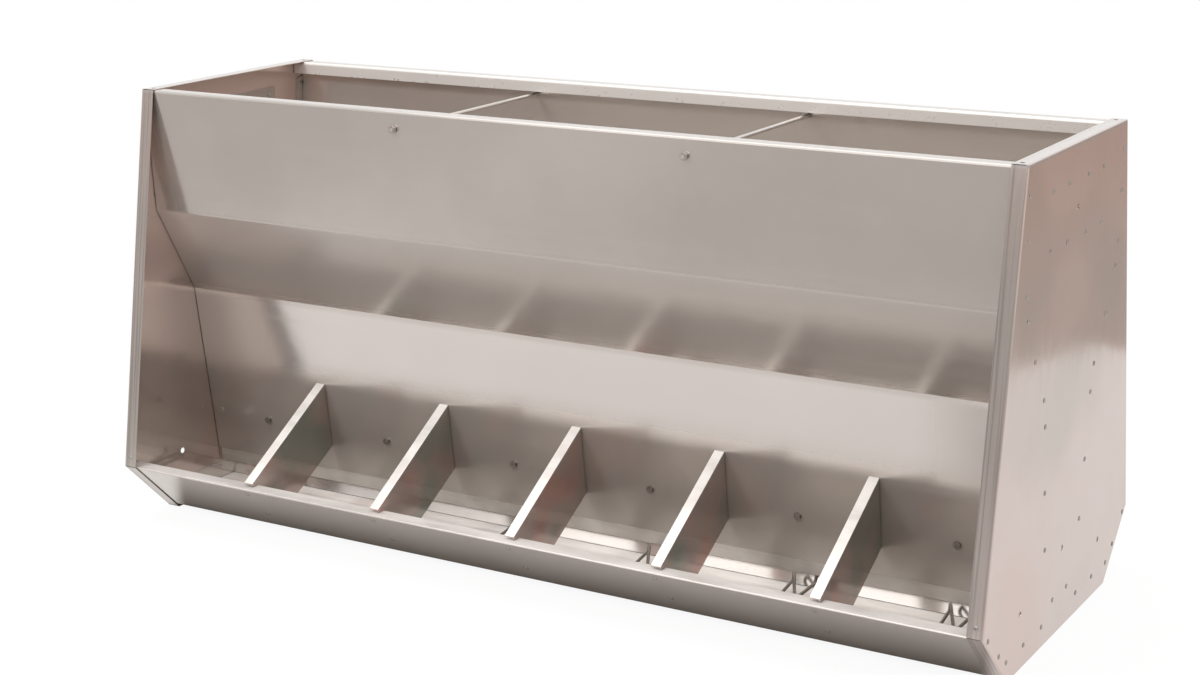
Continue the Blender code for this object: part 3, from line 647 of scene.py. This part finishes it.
def add_seam_rivets():
    """Rivets on the trough's faces under each divider, at the end panels' corners and beside the gates."""
    places = []
    for side in (-1, 1):
        for number in range(1, SPACES):
            x = (number - SPACES / 2) * SPACE_WIDTH
            for height in DIVIDER_RIVET_HEIGHTS:
                places.append(on_face(TROUGH_FACE, x, side, height, SHEET + SHEET_GAP))
        for end in (-1, 1):
            x = end * (HALF_LENGTH - END_FLANGE / 2)
            places.append(on_face(END_FLANGE_FACE, x, side, CORNER_RIVET_HEIGHT))
            x = end * (HALF_LENGTH - HEM_RIVET_INSET)
            places.append(on_face(LOWER_PANEL_FACE, x, side, HEM_RIVET_HEIGHT))
    add_rivets("seam_rivets", places, HEAD_MESH)


def add_camera():
    data = bpy.data.cameras.new("photograph_view")
    data.lens = CAMERA_LENS
    data.sensor_width = CAMERA_SENSOR
    camera = bpy.data.objects.new("photograph_view", data)
    link(camera)
    look = Vector(CAMERA_TARGET) - Vector(CAMERA_PLACE)
    turn = look.to_track_quat("-Z", "Y").to_matrix() @ Matrix.Rotation(CAMERA_ROLL, 3, "Z")
    camera.matrix_world = Matrix.Translation(CAMERA_PLACE) @ turn.to_4x4()
    bpy.context.scene.camera = camera


def add_lamp(name, place, target, size, power, in_gloss=True):
    """A rectangular softbox, which may be left out of what the sheets reflect."""
    data = bpy.data.lights.new(name, "AREA")
    data.shape = "RECTANGLE"
    data.size, data.size_y = size
    data.energy = power
    lamp = bpy.data.objects.new(name, data)
    link(lamp)
    lamp.visible_glossy = in_gloss
    lamp.location = place
    lamp.rotation_euler = (Vector(target) - Vector(place)).to_track_quat("-Z", "Y").to_euler()


def add_lights():
    add_lamp("key_softbox", (-1.7, -2.8, 2.9), (0.0, -0.1, 0.2), (0.9, 0.9), 55.0, in_gloss=False)
    add_lamp("front_softbox", (-0.6, -4.2, 3.0), (0.0, 0.0, 0.3), (5.0, 3.0), 55.0)
    add_lamp("overhead_softbox", (0.0, 0.0, 3.6), (0.0, 0.0, 0.3), (4.5, 3.5), 90.0)
    add_lamp("right_softbox", (4.2, 0.4, 2.0), (0.9, 0.0, 0.4), (2.6, 2.0), 36.0, in_gloss=False)
    add_lamp("rear_softbox", (-4.5, 7.5, 2.3), (0.0, 0.0, 0.6), (7.0, 2.4), 220.0, in_gloss=False)


def add_surroundings():
    """A white world for the camera and for reflections, softer for the light that it gives."""
    world = bpy.data.worlds.new("studio")
    bpy.context.scene.world = world
    world.use_nodes = True
    tree = world.node_tree
    seen = tree.nodes["Background"]
    seen.inputs["Color"].default_value = (1, 1, 1, 1)
    seen.inputs["Strength"].default_value = 1.0
    lit = tree.nodes.new("ShaderNodeBackground")
    lit.inputs["Color"].default_value = (1.0, 0.99, 0.98, 1)
    lit.inputs["Strength"].default_value = 0.6
    rays = tree.nodes.new("ShaderNodeLightPath").outputs
    shown = larger(tree, rays["Is Camera Ray"], rays["Is Glossy Ray"])
    mix = tree.nodes.new("ShaderNodeMixShader")
    tree.links.new(larger(tree, shown, rays["Is Transmission Ray"]), mix.inputs[0])
    tree.links.new(lit.outputs[0], mix.inputs[1])
    tree.links.new(seen.outputs[0], mix.inputs[2])
    tree.links.new(mix.outputs[0], tree.nodes["World Output"].inputs["Surface"])


def stage_piece(name, bm, made):
    """A piece of the studio, which belongs to no body."""
    mesh = mesh_of(name, bm)
    mesh.materials.append(made)
    obj = bpy.data.objects.new(name, mesh)
    link(obj)
    return obj


def beyond_footprint(tree, parts):
    """0 under the feeder, where its shadow is deep, up to 1 clear of it."""
    along = mapped_range(tree, maths(tree, "ABSOLUTE", parts["X"]), *SHADE_FADE_ALONG)
    across = mapped_range(tree, maths(tree, "ABSOLUTE", parts["Y"]), *SHADE_FADE_ACROSS)
    return larger(tree, along, across)


def add_floor():
    """A white floor, pale grey well in front of the feeder, which keeps the feeder's soft shadow and has a
    painted shadow under it.
    """
    made, tree, shader = new_material("white_floor")
    shader.inputs["Roughness"].default_value = 0.9
    spot = tree.nodes.new("ShaderNodeTexCoord").outputs["Object"]
    parts = axes(tree, spot)
    rays = tree.nodes.new("ShaderNodeLightPath").outputs

    # The floor's own colour, with a painted shadow under the feeder for all rays but the camera's, and a
    # painted pool of light in its grey front
    not_front = mapped_range(tree, parts["Y"], -1.9, -1.2)
    clear = beyond_footprint(tree, parts)
    lit = mixed(tree, clear, FLOOR_SHADED_TONE, FLOOR_CLEAR_TONE)
    colour = mixed(tree, rays["Is Camera Ray"], lit, FLOOR_SEEN_TONE)
    # A painted pool of light on the grey front floor.
    light_pool = band(tree, parts["X"], (-2.5, -1.6, -1.6, -0.6))
    grey = mixed(tree, light_pool, FRONT_FLOOR_TONE, PAINTED_LIGHT_POOL_TONE)
    tree.links.new(mixed(tree, not_front, grey, colour), shader.inputs["Base Color"])

    # The even white that the camera sees, with a little of the shadow in it. Reflections see it only clear
    # of the feeder, and the painted shadow under it.
    glow = tree.nodes.new("ShaderNodeEmission")
    tree.links.new(mixed(tree, not_front, grey, (1.0, 1.0, 1.0)), glow.inputs["Color"])
    away = vector_maths(tree, "LENGTH", spot).outputs["Value"]
    whiteness = mapped_range(tree, away, 1.5, 3.0, FLOOR_WHITENESS, 1.0)
    reflected = larger(tree, rays["Is Glossy Ray"], rays["Is Transmission Ray"])
    shown = larger(tree, rays["Is Camera Ray"], times(tree, reflected, clear))
    mix = tree.nodes.new("ShaderNodeMixShader")
    tree.links.new(times(tree, shown, whiteness), mix.inputs[0])
    tree.links.new(shader.outputs[0], mix.inputs[1])
    tree.links.new(glow.outputs[0], mix.inputs[2])
    tree.links.new(mix.outputs[0], tree.nodes["Material Output"].inputs["Surface"])

    bm = bmesh.new()
    bmesh.ops.create_grid(bm, x_segments=1, y_segments=1, size=FLOOR_HALF)
    stage_piece("studio_floor", bm, made)


def add_card(name, plan, height, low_colour, high_colour):
    """A standing card behind or before the feeder, seen only in the shine of the sheets. It glows with its
    colours though it is no lamp, a painted reflection.
    """
    made, tree, shader = new_material(name)
    spot = tree.nodes.new("ShaderNodeTexCoord").outputs["Object"]
    rise = mapped_range(tree, axes(tree, spot)["Z"], height * 0.2, height * 0.65)
    shader.inputs["Base Color"].default_value = (0.0, 0.0, 0.0, 1)
    tree.links.new(mixed(tree, rise, low_colour, high_colour), shader.inputs["Emission Color"])
    shader.inputs["Emission Strength"].default_value = 1.0
    bm = bmesh.new()
    for first, second in zip(plan, plan[1:]):
        corners = [(*first, 0.0), (*second, 0.0), (*second, height), (*first, height)]
        bm.faces.new([bm.verts.new(corner) for corner in corners])
    card = stage_piece(name, bm, made)
    card.visible_camera = False
    card.visible_diffuse = False
    card.visible_shadow = False


add_camera()
add_surroundings()
add_lights()
add_floor()
add_card("side_card", SIDE_CARD_PLAN, 1.0, (0.50, 0.43, 0.39), (0.43, 0.34, 0.30))
add_card("front_card", FRONT_CARD_PLAN, 1.7, (0.45, 0.43, 0.42), (0.45, 0.43, 0.42))
dress_nodes()
add_end_rivets()
add_seam_rivets()

bpy.context.scene.view_settings.view_transform = "Standard"
